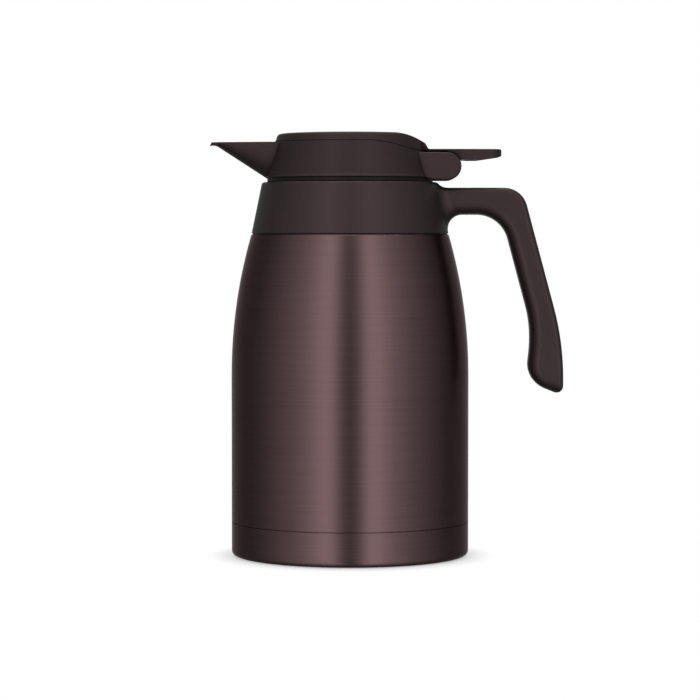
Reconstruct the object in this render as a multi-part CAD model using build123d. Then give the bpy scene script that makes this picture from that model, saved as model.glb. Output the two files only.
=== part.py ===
from build123d import *
import os
from math import cos, radians, sqrt, tan

# Thermal carafe with a one-hand flip lid.
# Millimetres, +Z up, +X towards the handle, the spout towards -X.
# The origin lies on the vessel axis in the plane of the foot ring.

# Steel body
body_radius = 67.5
body_straight_top = 103.0
shoulder_arc_radius = 288.0
shoulder_height = 183.2
shoulder_edge_radius = 1.2
shell_wall = 0.5
liner_wall = 0.4
vacuum_gap = 6.0
neck_rise = 13.2
neck_wall_gap = 0.3

# Base
foot_height = 0.4
foot_ring_depth = 1.4
foot_ring_inset = 6.9
foot_ring_width = 9.6
cup_wall = 0.5
cup_height = 19.8
cup_corner_radius = 3.0
end_disc_height = 9.0
liner_floor_height = 15.0
liner_floor_corner = 12.0
liner_joint_rise = 3.0
vent_radius = 1.5
seal_radius = 4.0
seal_depth = 1.2
getter_radius = 6.0
getter_height = 2.5
getter_offset = 32.0
foil_thickness = 0.2
foil_margin = 2.0

# Collar
collar_inset = 0.15
collar_lip = 3.5
collar_taper = 11.65
collar_top_rounding = 1.6
collar_wall = 2.5
collar_ledge = 1.0
collar_shadow_gap = 0.6
collar_seat_inset = 0.5
shelf_thickness = 1.9
gasket_thickness = 1.0
hub_depth = 10.0
insert_height = 9.4
insert_wall = 6.9
neck_step = 2.1

# Handle
arm_drop = 3.1
arm_depth = 15.3
handle_width = 22.0
handle_outer_round = 3.0
handle_inner_round = 7.0
handle_side_margin = 0.05
handle_root_radius = 8.0
handle_projection = 53.5
handle_lean = 15.0
corner_setback = 33.8
corner_radius = 13.4
crook_setback = 49.0
crook_radius = 18.3
grip_straight = 39.6
palm_radius = 68.0
heel_radius = 95.0
heel_turn = 8.0
toe_radius = 15.0
toe_rise = 22.0
toe_share = 0.95
toe_corner_radius = 4.0
outer_curve_radius = 155.0

# Pour head
groove_height = 2.3
head_step = 2.5
head_height = 20.5
head_taper = 13.5
head_wall = 2.2
deck_height = 3.1
deck_thickness = 2.4
foot_bead_radius = 0.6
foot_bead_height = 0.7
foot_flare_height = 3.0
foot_flare_width = 0.45
foot_band_inset = 0.5
skirt_inset = 2.1
parting_gap = 0.3
parting_length = 37.0
parting_margin = 1.0
parting_drop = 5.45
ear_drop = 0.6

# Spout
spout_reach = 32.1
spout_root_inset = 9.5
spout_lip_length = 4.8
spout_lip_overlap = 0.5
spout_lip_bevel = 1.2
spout_lip_arch = 0.5
spout_lip_depth = 2.8
spout_lip_thickness = 2.4
spout_root_half_width = 15.6
spout_mouth_half_width = 5.6
spout_wall = 2.0
spout_end_margin = 0.5
spout_side_share = 0.97
spout_keel_share = 0.62

# Hinge
hinge_reach = 7.5
ear_clearance = 1.1
ear_root_half_width = 22.0
ear_end_half_width = 17.0
ear_edge_radius = 1.2
ear_slot_half_width = 11.5
pin_radius = 1.5
pin_skin = 2.0
knuckle_inset = 0.8
arm_rise = 3.2
arm_root = 5.2
spring_wire = 0.8
spring_radius = 3.3
spring_turns = 4.25
spring_pitch = 1.1
spring_slot_half_width = 3.6

# Stopper
plug_clearance = 1.6
plug_length = 24.0
stopper_wall = 2.0
pour_bore_radius = 11.0
pour_tube_wall = 2.0
seat_rise = 6.0
stopper_base_thickness = 2.3
stopper_seal_height = 4.5
seal_bead_height = 0.8

# Flip lid
lid_height = 4.6
lid_rim_inset = 1.7
lid_rim_rounding = 2.4
lid_wall = 2.6
lid_fall_setback = 32.0
lid_fall_drop = 5.7
lid_crest = 0.05
lever_root_run = 1.7
lever_ear_gap = 0.45
lever_rise = 1.1
lever_reach = 30.8
lever_half_width = 14.0
lever_tip_half_width = 11.5
lever_corner_radius = 8.0
lever_depth = 6.1
lever_tip_depth = 4.1
lever_flat = 17.0
lever_wall = 2.0
lever_root_radius = 1.2
lever_end_radius = 1.2
lid_side_wall = 3.2
lid_rear_wall = 17.0
inner_plate_thickness = 1.5
boss_radius = 9.0
pad_overlap = 1.2
pad_thickness = 3.6
clip_radius = 2.7
clip_head_radius = 6.0
clip_head_thickness = 1.5

# Fits
slide_gap = 0.3
pin_gap = 0.05
joint_tolerance = 0.05
push_gap = 0.1

# Steel body, worked out from the driving dimensions
shell_inner_radius = body_radius - shell_wall
shell_foot_radius = body_radius - cup_wall - slide_gap
liner_radius = shell_inner_radius - vacuum_gap
shoulder_centre_radius = body_radius - shoulder_arc_radius
neck_top_height = shoulder_height + neck_rise
neck_rim_height = neck_top_height + liner_wall
cup_floor_height = foot_ring_depth + cup_wall
shell_foot_height = cup_floor_height + slide_gap
liner_joint_height = liner_floor_height + liner_floor_corner + liner_joint_rise
foot_ring_outer = body_radius - foot_ring_inset
foot_ring_inner = foot_ring_outer - foot_ring_width


def shoulder_radius(inset, height):
    """Radius of the shoulder curve, moved inwards by inset."""
    arc_radius = shoulder_arc_radius - inset
    rise = height - body_straight_top
    return shoulder_centre_radius + sqrt(arc_radius**2 - rise**2)


# Collar
collar_foot_radius = shoulder_radius(collar_inset, shoulder_height)
collar_foot_height = shoulder_height + collar_shadow_gap
shelf_bottom = neck_rim_height + gasket_thickness
shelf_top = shelf_bottom + shelf_thickness
insert_top = shelf_top + insert_height
collar_top_height = insert_top + collar_lip


def collar_radius(height):
    """Outside radius of the tapered collar."""
    return collar_foot_radius - (height - collar_foot_height) * tan(radians(collar_taper))


# Pour head
head_foot_height = collar_top_height + groove_height
head_foot_radius = collar_radius(collar_top_height) - head_step
parting_height = head_foot_height + head_height
deck_top = head_foot_height + deck_height
deck_bottom = deck_top - deck_thickness
head_top = parting_height - parting_gap / 2
rear_head_top = head_top - parting_drop
skirt_radius = head_foot_radius - skirt_inset
skirt_bottom = insert_top + slide_gap
well_radius = skirt_radius + slide_gap


def head_radius(height):
    """Outside radius of the tapered pour head."""
    return head_foot_radius - (height - head_foot_height) * tan(radians(head_taper))


# Neck, insert and stopper
insert_bore_radius = skirt_radius - insert_wall
neck_bore_radius = insert_bore_radius - neck_step
neck_liner_radius = neck_bore_radius + liner_wall
neck_shell_radius = neck_liner_radius + neck_wall_gap + shell_wall
plug_radius = neck_bore_radius - plug_clearance
seal_bead_radius = plug_radius + seal_bead_height
pour_tube_radius = pour_bore_radius + pour_tube_wall
flange_bottom = deck_bottom - stopper_wall
plug_step = shelf_top + slide_gap
stopper_foot_height = plug_step - plug_length
stopper_floor = stopper_foot_height + stopper_base_thickness
seal_top = stopper_floor + stopper_seal_height
seat_height = deck_top + seat_rise

# Handle
arm_top_height = collar_top_height - arm_drop
arm_bottom_height = arm_top_height - arm_depth
handle_reach = body_radius + handle_projection
corner_start = handle_reach - corner_setback
crook_start = handle_reach - crook_setback

# Spout
spout_root = head_foot_radius - spout_root_inset
spout_tip = head_foot_radius + spout_reach
spout_lip_start = spout_tip - spout_lip_length
spout_lip_back = spout_lip_start - spout_lip_overlap
spout_slope = (head_height - spout_lip_depth) / (spout_lip_start - head_foot_radius)

# Hinge
hinge_x = head_foot_radius + hinge_reach
ear_top = rear_head_top - ear_drop
ear_radius = (ear_top - collar_top_height - ear_clearance) / 2
hinge_z = ear_top - ear_radius
ear_end = hinge_x + ear_radius
parting_end = hinge_x - ear_radius - parting_margin
parting_start = parting_end - parting_length
knuckle_radius = ear_radius - knuckle_inset
knuckle_half_width = ear_slot_half_width - slide_gap
knuckle_space = hinge_x - knuckle_radius - 2 * slide_gap
spring_room = spring_radius + spring_wire / 2 + slide_gap
arm_bottom = hinge_z + arm_rise

# Flip lid
lid_top_height = parting_height + lid_height
lid_bottom = parting_height + parting_gap / 2
rear_lid_bottom = lid_bottom - parting_drop
lid_rim_radius = head_radius(parting_height) - lid_rim_inset
lid_fall_start = hinge_x - lid_fall_setback
lid_fall_end = head_radius(parting_height) - push_gap
lever_root = lid_fall_end + lever_root_run
lid_cavity_radius = head_radius(parting_height) - lid_side_wall
lid_cavity_rear = parting_end - lid_rear_wall
lever_top_height = rear_lid_bottom + lever_rise
lever_bottom = lever_top_height - lever_depth
lever_front = ear_end + slide_gap
lever_tip = hinge_x + lever_reach
lever_flat_end = hinge_x + lever_flat
plate_top = lid_top_height - lid_wall
plate_bottom = plate_top - inner_plate_thickness
pad_radius = pour_tube_radius + pad_overlap
pad_bottom = seat_height + slide_gap
pad_top = pad_bottom + pad_thickness


def shoulder_curve(inset, top):
    """Profile arc of the shoulder, tangent to the straight wall."""
    middle = (body_straight_top + top) / 2
    return ThreePointArc(
        (body_radius - inset, body_straight_top),
        (shoulder_radius(inset, middle), middle),
        (shoulder_radius(inset, top), top),
    )


def rounded(path, radius, *corners):
    """Round the named corners of a flat path."""
    points = [path.vertices().sort_by_distance(corner)[0] for corner in corners]
    return path.fillet_2d(radius, points)


def turned(outline):
    """Turn a closed (radius, height) outline about the vessel axis."""
    return revolve(Plane.XZ * make_face(outline), Axis.Z)


def sheet(path, wall):
    """Sheet metal of revolution; the path is the skin that faces outwards."""
    return turned(offset(path, wall, side=Side.LEFT, closed=True))


def ring(inner, outer, bottom, top):
    """Plain ring about the vessel axis."""
    return turned(Polyline((inner, bottom), (outer, bottom), (outer, top), (inner, top), close=True))


def disc(radius, bottom, top):
    """Plain round disc about the vessel axis."""
    return Pos(0, 0, (bottom + top) / 2) * Cylinder(radius, top - bottom)


def slab(outline, half_width):
    """Extrude a side outline in (x, height) evenly to both sides."""
    return extrude(Plane.XZ * make_face(outline), half_width, both=True)


def eased(solid, radius, *corners):
    """Round the crosswise edges of a slab at the given (x, height) corners."""
    across = solid.edges().filter_by(Axis.Y)
    edges = [across.sort_by_distance((x, 0, height))[0] for x, height in corners]
    return fillet(edges, radius)


def block(x_min, x_max, half_width, bottom, top):
    """Box that is centred across the handle plane."""
    middle = Pos((x_min + x_max) / 2, 0, (bottom + top) / 2)
    return middle * Box(x_max - x_min, 2 * half_width, top - bottom)


def cross_rod(radius, y_min, y_max):
    """Round bar along the hinge axis."""
    middle = Pos(hinge_x, (y_min + y_max) / 2, hinge_z)
    return middle * Rot(90, 0, 0) * Cylinder(radius, y_max - y_min)


# ---- Steel body ----


def outer_shell():
    """Spun shell: joggled foot under the base cup, shoulder and neck."""
    rim = shoulder_radius(0, shoulder_height)
    seam = cup_height + slide_gap / 2
    path = Wire([
        Line((shell_foot_radius, shell_foot_height), (shell_foot_radius, seam)),
        Line((shell_foot_radius, seam), (body_radius, seam)),
        Line((body_radius, seam), (body_radius, body_straight_top)),
        shoulder_curve(0, shoulder_height),
        Line((rim, shoulder_height), (neck_shell_radius, shoulder_height)),
        Line((neck_shell_radius, shoulder_height), (neck_shell_radius, neck_top_height)),
    ])
    path = rounded(path, shoulder_edge_radius, (rim, shoulder_height))
    path = rounded(path, shell_wall, (neck_shell_radius, shoulder_height))
    return sheet(path, shell_wall)


def end_disc():
    """Pressed disc that closes the vacuum space, with the evacuation vent."""
    flange = shell_foot_radius - 2 * shell_wall
    under = end_disc_height - shell_wall
    path = Polyline((0, under), (flange, under), (flange, shell_foot_height))
    path = rounded(Wire(path.edges()), shoulder_edge_radius, (flange, under))
    return sheet(path, shell_wall) - disc(vent_radius, 0, end_disc_height)


def vent_seal():
    """Bead that plugs the evacuation vent from below."""
    under = end_disc_height - shell_wall
    bead = disc(seal_radius, under - seal_depth, under)
    return bead + disc(vent_radius, under, end_disc_height)


def getter():
    """Getter capsule on the vacuum side of the end disc."""
    return Pos(getter_offset, 0, 0) * disc(getter_radius, end_disc_height, end_disc_height + getter_height)


def base_cup():
    """Drawn cup over the foot of the shell, with a recess for the foot ring."""
    step = foot_ring_depth - foot_height
    recess = foot_ring_outer + slide_gap
    path = Wire(Polyline(
        (0, foot_ring_depth),
        (recess, foot_ring_depth),
        (recess + step, foot_height),
        (body_radius, foot_height),
        (body_radius, cup_height - slide_gap / 2),
    ).edges())
    path = rounded(path, cup_corner_radius, (body_radius, foot_height))
    return sheet(path, cup_wall)


def foot_ring():
    """Soft ring that the carafe stands on."""
    return ring(foot_ring_inner, foot_ring_outer, 0, foot_ring_depth)


def liner_floor():
    """Drawn floor of the inner vessel."""
    path = Wire(Polyline(
        (0, liner_floor_height),
        (liner_radius, liner_floor_height),
        (liner_radius, liner_joint_height),
    ).edges())
    path = rounded(path, liner_floor_corner, (liner_radius, liner_floor_height))
    return sheet(path, liner_wall)


def liner_body():
    """Wall, shoulder, neck and rolled rim of the inner vessel."""
    inset = shell_wall + vacuum_gap
    top = shoulder_height - inset
    rim = shoulder_radius(inset, top)
    path = Wire([
        Line((liner_radius, liner_joint_height), (liner_radius, body_straight_top)),
        shoulder_curve(inset, top),
        Line((rim, top), (neck_liner_radius, top)),
        Line((neck_liner_radius, top), (neck_liner_radius, neck_top_height)),
        Line((neck_liner_radius, neck_top_height), (neck_shell_radius, neck_top_height)),
    ])
    path = rounded(path, vacuum_gap, (rim, top))
    path = rounded(path, vacuum_gap / 2, (neck_liner_radius, top))
    return sheet(path, liner_wall)


def copper_foil():
    """Bright foil wrapped round the straight wall of the inner vessel."""
    bottom = liner_joint_height + foil_margin
    top = body_straight_top - foil_margin
    return ring(liner_radius, liner_radius + foil_thickness, bottom, top)


def neck_gasket():
    """Gasket between the steel rim and the shelf of the collar."""
    return ring(neck_liner_radius, neck_shell_radius, neck_rim_height, shelf_bottom)


# ---- Collar with handle ----


def handle_inner_side(root):
    """Inner line of the hook, from the collar round the fingers to its toe."""
    under = Line((root, arm_bottom_height), (crook_start, arm_bottom_height))
    crook = JernArc(under @ 1, (1, 0), crook_radius, handle_lean - 90)
    lean = crook % 1
    front = Line(crook @ 1, crook @ 1 + lean * grip_straight)
    palm = JernArc(front @ 1, lean, palm_radius, -handle_lean)
    heel = JernArc(palm @ 1, palm % 1, heel_radius, -heel_turn)
    toe = JernArc(heel @ 1, heel % 1, toe_radius, 90 + heel_turn - toe_rise)
    return [under, crook, front, palm, heel, toe]


def handle_outer_side(root, tip):
    """Outer line of the hook, from the collar over the arm and down to its tip."""
    top = Line((root, arm_top_height), (corner_start, arm_top_height))
    corner = JernArc(top @ 1, (1, 0), corner_radius, handle_lean - 90)
    lean = corner % 1
    curve_width = outer_curve_radius * (1 - cos(radians(handle_lean)))
    run = (handle_reach - curve_width - (corner @ 1).X) / lean.X
    back = Line(corner @ 1, corner @ 1 + lean * run)
    swell = JernArc(back @ 1, lean, outer_curve_radius, -handle_lean)
    return [top, corner, back, swell, Line(swell @ 1, tip)]


def softened(outline, half_width, radius, root, ceiling):
    """Slab with rounded rims, left square at the root plane and at its ceiling."""
    solid = slab(outline, half_width)
    rims = [
        edge for edge in solid.edges()
        if abs(abs((edge @ 0.5).Y) - half_width) < joint_tolerance
        and (edge @ 0.5).X > root + joint_tolerance
        and (edge @ 0.5).Z < ceiling - joint_tolerance
    ]
    return fillet(rims, radius)


def handle():
    """Hook handle of D section: crisp outside, well rounded towards the fingers."""
    root = collar_radius(arm_top_height) - collar_wall
    inner = handle_inner_side(root)
    sole_start = inner[-1] @ 1
    sole_way = inner[-1] % 1
    tip = sole_start + sole_way * ((handle_reach - sole_start.X) / sole_way.X)
    sole_root = tip - sole_way * ((tip.X - root) / sole_way.X)
    sole_end = tip + sole_way * arm_depth
    ceiling = arm_top_height + arm_depth
    outer = handle_outer_side(root, tip)
    toe_limit = toe_share * outer[-1].length * tan(radians(45 - toe_rise / 2))
    outside = Wire([
        *outer,
        Line(tip, sole_root),
        Line(sole_root, (root, arm_top_height)),
    ])
    outside = rounded(outside, min(toe_corner_radius, toe_limit), tip)
    inside = Wire([
        *inner,
        Line(sole_start, sole_end),
        Line(sole_end, (sole_end.X, ceiling)),
        Line((sole_end.X, ceiling), (root, ceiling)),
        Line((root, ceiling), (root, arm_bottom_height)),
    ])
    half_width = handle_width / 2
    crisp = softened(outside, half_width, handle_outer_round, root, ceiling)
    soft = softened(inside, half_width + handle_side_margin, handle_inner_round, root, ceiling)
    return crisp & soft


def collar_inside():
    """Space inside the collar: cavity, hub bore, shelf bore and head well."""
    well_wall = well_radius + collar_wall
    cavity_top_radius = well_wall + collar_ledge
    cavity_rise = (collar_foot_radius - collar_wall - cavity_top_radius) / tan(radians(collar_taper))
    cavity_top = collar_foot_height + cavity_rise
    hub_bore = neck_shell_radius + slide_gap
    hub_radius = hub_bore + collar_wall
    hub_bottom = shelf_bottom - hub_depth
    return turned(Polyline(
        (0, shoulder_height),
        (collar_foot_radius - collar_wall, shoulder_height),
        (collar_foot_radius - collar_wall, collar_foot_height),
        (cavity_top_radius, cavity_top),
        (well_wall, cavity_top),
        (well_wall, shelf_bottom),
        (hub_radius, shelf_bottom),
        (hub_radius, hub_bottom),
        (hub_bore, hub_bottom),
        (hub_bore, shelf_bottom),
        (neck_liner_radius, shelf_bottom),
        (neck_liner_radius, shelf_top),
        (well_radius, shelf_top),
        (well_radius, collar_top_height),
        (0, collar_top_height),
        close=True,
    ))


def collar_handle():
    """One moulding: tapered collar with the handle growing out of it."""
    top_radius = collar_radius(collar_top_height)
    outline = Wire(Polyline(
        (0, shoulder_height),
        (collar_foot_radius - collar_seat_inset, shoulder_height),
        (collar_foot_radius - collar_seat_inset, collar_foot_height),
        (collar_foot_radius, collar_foot_height),
        (top_radius, collar_top_height),
        (0, collar_top_height),
        close=True,
    ).edges())
    outline = rounded(outline, collar_top_rounding, (top_radius, collar_top_height))
    cone = Rot(0, 0, 180) * turned(outline)
    body = cone + handle()
    joint = [edge for edge in body.edges() if is_handle_joint(edge @ 0.5)]
    return fillet(joint, handle_root_radius) - collar_inside()


def is_handle_joint(point):
    """Whether a point lies on the line where handle and collar meet."""
    radius = sqrt(point.X**2 + point.Y**2)
    on_cone = abs(radius - collar_radius(point.Z)) < joint_tolerance
    lowest = arm_bottom_height - joint_tolerance
    beside = point.X > 0 and abs(point.Y) < handle_width / 2 + joint_tolerance
    return on_cone and beside and lowest < point.Z < arm_top_height + joint_tolerance


def thread_insert():
    """Threaded insert, bonded in the collar, that the stopper screws into."""
    return ring(insert_bore_radius, skirt_radius, shelf_top, insert_top)


# ---- Pour head ----


def parting_sweep(height):
    """The two arcs in which the parting line sweeps down towards the lever."""
    middle = ((parting_start + parting_end) / 2, height - parting_drop / 2)
    fall = TangentArc((parting_start, height), middle, tangent=(1, 0))
    ease = TangentArc((parting_end, height - parting_drop), middle, tangent=(-1, 0))
    return [fall, ease]


def above_parting(height):
    """Space above the parting line between the pour head and the flip lid."""
    far = 2 * body_radius
    low = height - parting_drop
    front = Line((-far, height), (parting_start, height))
    rear = Line((parting_end, low), (far, low))
    sky = Polyline((far, low), (far, height + far), (-far, height + far), (-far, height))
    return slab([front, *parting_sweep(height), rear, *sky.edges()], far)


def spout_section(distance, inset):
    """Rounded V section of the spout, moved in by a wall."""
    share = (distance - spout_root) / (spout_tip - spout_root)
    half_width = spout_root_half_width + (spout_mouth_half_width - spout_root_half_width) * share - inset
    keel = head_foot_height + (distance - head_foot_radius) * spout_slope + inset
    shoulder = parting_height - (parting_height - keel) / 2
    sides = [
        Bezier(
            (side, parting_height),
            (spout_side_share * side, shoulder),
            (spout_keel_share * side, keel),
            (0, keel),
        )
        for side in (half_width, -half_width)
    ]
    top = Line((-half_width, parting_height), (half_width, parting_height))
    return Pos(-distance, 0, 0) * (Plane.YZ * make_face([*sides, top]))


def spout_outside():
    """Tapering beak with a drip lip at its tip."""
    beak = loft([spout_section(spout_root, 0), spout_section(spout_lip_start, 0)])
    under = parting_height - spout_lip_thickness
    keel = parting_height - spout_lip_depth
    middle = (spout_lip_start + spout_tip) / 2
    profile = [
        Line((-spout_lip_back, parting_height), (spout_lip_bevel - spout_tip, parting_height)),
        Line((spout_lip_bevel - spout_tip, parting_height), (-spout_tip, under)),
        ThreePointArc((-spout_tip, under), (-middle, under + spout_lip_arch), (-spout_lip_start, keel)),
        Line((-spout_lip_start, keel), (-spout_lip_back, keel)),
        Line((-spout_lip_back, keel), (-spout_lip_back, parting_height)),
    ]
    width = spout_section(spout_lip_start, 0).bounding_box().size.Y
    end = Pos(spout_mouth_half_width - spout_tip, 0, 0) * Circle(spout_mouth_half_width)
    neck = Pos(-spout_lip_back, 0, 0) * Rectangle(joint_tolerance, width)
    plan = extrude(make_hull((end + neck).edges()), lid_top_height)
    return beak + (slab(profile, width) & plan)


def spout_inside():
    """Channel of the spout, open at the top, running out before the tip."""
    depth = parting_height - spout_wall - head_foot_height
    run_out = head_foot_radius + depth / spout_slope - spout_end_margin
    channel = loft([spout_section(spout_root - spout_wall, spout_wall), spout_section(run_out, spout_wall)])
    return channel - disc(head_foot_radius, 0, deck_top)


def ear_half_width(x):
    """Outer half width of the hinge ears, which narrow towards their end."""
    share = (x - spout_root) / (ear_end - spout_root)
    return ear_root_half_width + (ear_end_half_width - ear_root_half_width) * share


def hinge_lug():
    """Round-ended lug at the back of the head that becomes the two ears."""
    root = spout_root
    low = hinge_z - ear_radius
    high = hinge_z + ear_radius
    side = slab([
        Line((root, low), (hinge_x, low)),
        ThreePointArc((hinge_x, low), (ear_end, hinge_z), (hinge_x, high)),
        Line((hinge_x, high), (root, high)),
        Line((root, high), (root, low)),
    ], ear_root_half_width)
    plan = Polyline(
        (root, -ear_root_half_width),
        (ear_end, -ear_end_half_width),
        (ear_end, ear_end_half_width),
        (root, ear_root_half_width),
        close=True,
    )
    lug = side & extrude(make_face(plan), lid_top_height)
    rims = [
        edge for edge in lug.edges()
        if (edge @ 0.5).X > hinge_x and abs((edge @ 0.5).Y) > ear_slot_half_width
    ]
    return fillet(rims, ear_edge_radius)


def head_inside():
    """Open space of the head above its deck."""
    return turned(Polyline(
        (0, deck_top),
        (head_radius(deck_top) - head_wall, deck_top),
        (head_radius(lid_top_height) - head_wall, lid_top_height),
        (0, lid_top_height),
        close=True,
    ))


def ear_gap():
    """Gap between the ears, and the notch that the arm of the lid lies in."""
    slot = block(knuckle_space, lever_tip, ear_slot_half_width, collar_top_height, lid_top_height)
    notch_floor = arm_bottom - slide_gap
    notch = block(spout_root, hinge_x, ear_slot_half_width, notch_floor, lid_top_height)
    return slot + notch


def head_outline():
    """Profile of the head: cone with a flared bead, and a set-back band under it."""
    bead_radius = head_foot_radius + foot_flare_width
    bead_top = head_foot_height + foot_bead_height
    flare_top = head_foot_height + foot_flare_height
    band_radius = head_foot_radius - foot_band_inset
    band_bottom = collar_top_height + slide_gap
    cone_way = (tan(radians(head_taper)), -1)
    path = Wire([
        Line((0, band_bottom), (band_radius, band_bottom)),
        Line((band_radius, band_bottom), (band_radius, head_foot_height)),
        Line((band_radius, head_foot_height), (bead_radius, head_foot_height)),
        Line((bead_radius, head_foot_height), (bead_radius, bead_top)),
        TangentArc((head_radius(flare_top), flare_top), (bead_radius, bead_top), tangent=cone_way),
        Line((head_radius(flare_top), flare_top), (head_radius(parting_height), parting_height)),
        Line((head_radius(parting_height), parting_height), (0, parting_height)),
        Line((0, parting_height), (0, band_bottom)),
    ])
    return rounded(path, foot_bead_radius, (bead_radius, head_foot_height))


def pour_head():
    """Moulded head: tapered wall, deck, skirt, spout and hinge ears."""
    wall = Rot(0, 0, 90) * turned(head_outline())
    skirt = disc(skirt_radius, skirt_bottom, deck_bottom)
    groove = ring(skirt_radius, collar_radius(collar_top_height), collar_top_height, head_foot_height)
    spout = spout_outside() - disc(2 * body_radius, 0, head_foot_height)
    body = wall + spout + (hinge_lug() - groove) + skirt
    body = body - head_inside() - spout_inside() - disc(skirt_radius - head_wall, 0, deck_bottom)
    body = body - disc(pour_tube_radius + push_gap, deck_bottom, deck_top)
    body = body - ear_gap() - above_parting(head_top)
    near_end = pin_skin - ear_half_width(hinge_x)
    return body - cross_rod(pin_radius + pin_gap, near_end, ear_root_half_width)


def hinge_pin():
    """Steel pin, pushed in from the far side and covered by the near ear."""
    near_end = pin_skin - ear_half_width(hinge_x) + slide_gap
    far_end = ear_half_width(hinge_x) - ear_edge_radius
    return cross_rod(pin_radius, near_end, far_end)


def return_spring():
    """Torsion spring round the pin: one leg on the lid, one on the head."""
    length = spring_turns * spring_pitch
    place = Pos(hinge_x, 0, hinge_z) * Rot(0, 90, 0)
    coil = place * Helix(spring_pitch, length, spring_radius, center=(0, -length / 2, 0), direction=(0, 1, 0))
    lid_end = coil @ 0 - (coil % 0) * (spring_room - slide_gap)
    head_end = coil @ 1 + (coil % 1) * (hinge_x - knuckle_space - slide_gap)
    path = Wire([Line(lid_end, coil @ 0), coil, Line(coil @ 1, head_end)])
    return sweep(Plane(origin=path @ 0, z_dir=path % 0) * Circle(spring_wire / 2), path=path)


# ---- Stopper ----


def stopper_body():
    """Hollow screw plug with the pour tube and its raised seat."""
    thread = insert_bore_radius - slide_gap
    plug_inside = plug_radius - stopper_wall
    bead_top = seal_top + stopper_wall
    return turned(Polyline(
        (pour_bore_radius, stopper_floor),
        (pour_tube_radius, stopper_floor),
        (pour_tube_radius, flange_bottom),
        (thread - stopper_wall, flange_bottom),
        (thread - stopper_wall, plug_step + stopper_wall),
        (plug_inside, plug_step + stopper_wall),
        (plug_inside, stopper_floor),
        (plug_radius, stopper_floor),
        (plug_radius, seal_top),
        (seal_bead_radius, seal_top),
        (seal_bead_radius, bead_top),
        (plug_radius, bead_top),
        (plug_radius, plug_step),
        (thread, plug_step),
        (thread, flange_bottom),
        (skirt_radius - head_wall - slide_gap, flange_bottom),
        (skirt_radius - head_wall - slide_gap, deck_bottom),
        (pour_tube_radius, deck_bottom),
        (pour_tube_radius, seat_height),
        (pour_bore_radius, seat_height),
        close=True,
    ))


def stopper_base():
    """Ring that closes the insulated plug from below."""
    return ring(pour_bore_radius, seal_bead_radius, stopper_foot_height, stopper_floor)


def stopper_foam():
    """Foam that fills the plug round the pour tube."""
    outer = plug_radius - stopper_wall - push_gap
    return ring(pour_tube_radius + push_gap, outer, stopper_floor, flange_bottom)


def stopper_seal():
    """Soft ring that seals the plug in the steel neck."""
    return ring(plug_radius, neck_bore_radius - slide_gap, stopper_floor, seal_top)


# ---- Flip lid ----


def lid_side():
    """Side shape of the lid: flat top, fall at the back, lever, parting line."""
    crest = lid_top_height + lid_crest
    fall_end = (lid_fall_end, crest - lid_fall_drop)
    top = Line((-body_radius, crest), (lid_fall_start, crest))
    fall = TangentArc(top @ 1, fall_end, tangent=(1, 0))
    hug = ear_radius + lever_ear_gap
    hug_foot = (hinge_x + sqrt(hug**2 - (hinge_z - lever_bottom) ** 2), lever_bottom)
    hug_top = (hinge_x, hinge_z + hug)
    hug_middle = (hinge_x + hug * cos(radians(45)), hinge_z + hug * cos(radians(45)))
    lever_tip_bottom = lever_top_height - lever_tip_depth
    outline = Wire([
        top,
        fall,
        Line(fall_end, (lever_root, lever_top_height)),
        Line((lever_root, lever_top_height), (lever_tip, lever_top_height)),
        Line((lever_tip, lever_top_height), (lever_tip, lever_tip_bottom)),
        Line((lever_tip, lever_tip_bottom), (lever_flat_end, lever_bottom)),
        Line((lever_flat_end, lever_bottom), hug_foot),
        ThreePointArc(hug_foot, hug_middle, hug_top),
        Line(hug_top, (hinge_x, rear_lid_bottom)),
        Line((hinge_x, rear_lid_bottom), (parting_end, rear_lid_bottom)),
        *parting_sweep(lid_bottom),
        Line((parting_start, lid_bottom), (-body_radius, lid_bottom)),
        Line((-body_radius, lid_bottom), (-body_radius, crest)),
    ])
    solid = slab(outline, body_radius)
    solid = eased(solid, lever_root_radius, (lever_root, lever_top_height))
    return eased(solid, lever_end_radius, (lever_tip, lever_top_height), (lever_tip, lever_tip_bottom))


def flip_cover():
    """Lid cover with its press lever, arm and hinge knuckle."""
    side = lid_side()
    cap = turned(rounded(Wire(Polyline(
        (0, hinge_z),
        (head_radius(hinge_z), hinge_z),
        (head_radius(parting_height), parting_height),
        (lid_rim_radius, lid_top_height),
        (0, lid_top_height),
        close=True,
    ).edges()), lid_rim_rounding, (lid_rim_radius, lid_top_height)))
    plan = rounded(Wire(Polyline(
        (lid_fall_start, -lever_half_width),
        (ear_end, -lever_half_width),
        (lever_tip, -lever_tip_half_width),
        (lever_tip, lever_tip_half_width),
        (ear_end, lever_half_width),
        (lid_fall_start, lever_half_width),
        close=True,
    ).edges()), lever_corner_radius, (lever_tip, -lever_tip_half_width), (lever_tip, lever_tip_half_width))
    lever = side & extrude(make_face(plan), lid_top_height)
    cover = (side & cap) + lever - lid_cavity() - lever_pocket()
    neck = block(parting_end - arm_root, hinge_x, knuckle_half_width, arm_bottom, rear_lid_bottom)
    web = block(hinge_x, lever_front, knuckle_half_width, lever_bottom, rear_lid_bottom)
    knuckle = cross_rod(knuckle_radius, -knuckle_half_width, knuckle_half_width)
    cover = cover + neck + web + knuckle
    coil_room = block(
        hinge_x - spring_room, hinge_x + spring_room, spring_slot_half_width, 0, hinge_z + spring_room
    )
    leg_room = block(knuckle_space, hinge_x, spring_slot_half_width, 0, hinge_z)
    return cover - coil_room - leg_room - cross_rod(pin_radius + pin_gap, -lever_half_width, lever_half_width)


def lid_cavity():
    """Recess under the cover that holds the inner plate."""
    front = disc(lid_cavity_radius, 0, plate_top)
    rear = block(lid_cavity_rear, lever_tip, body_radius, 0, lid_top_height)
    return front - rear


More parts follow.
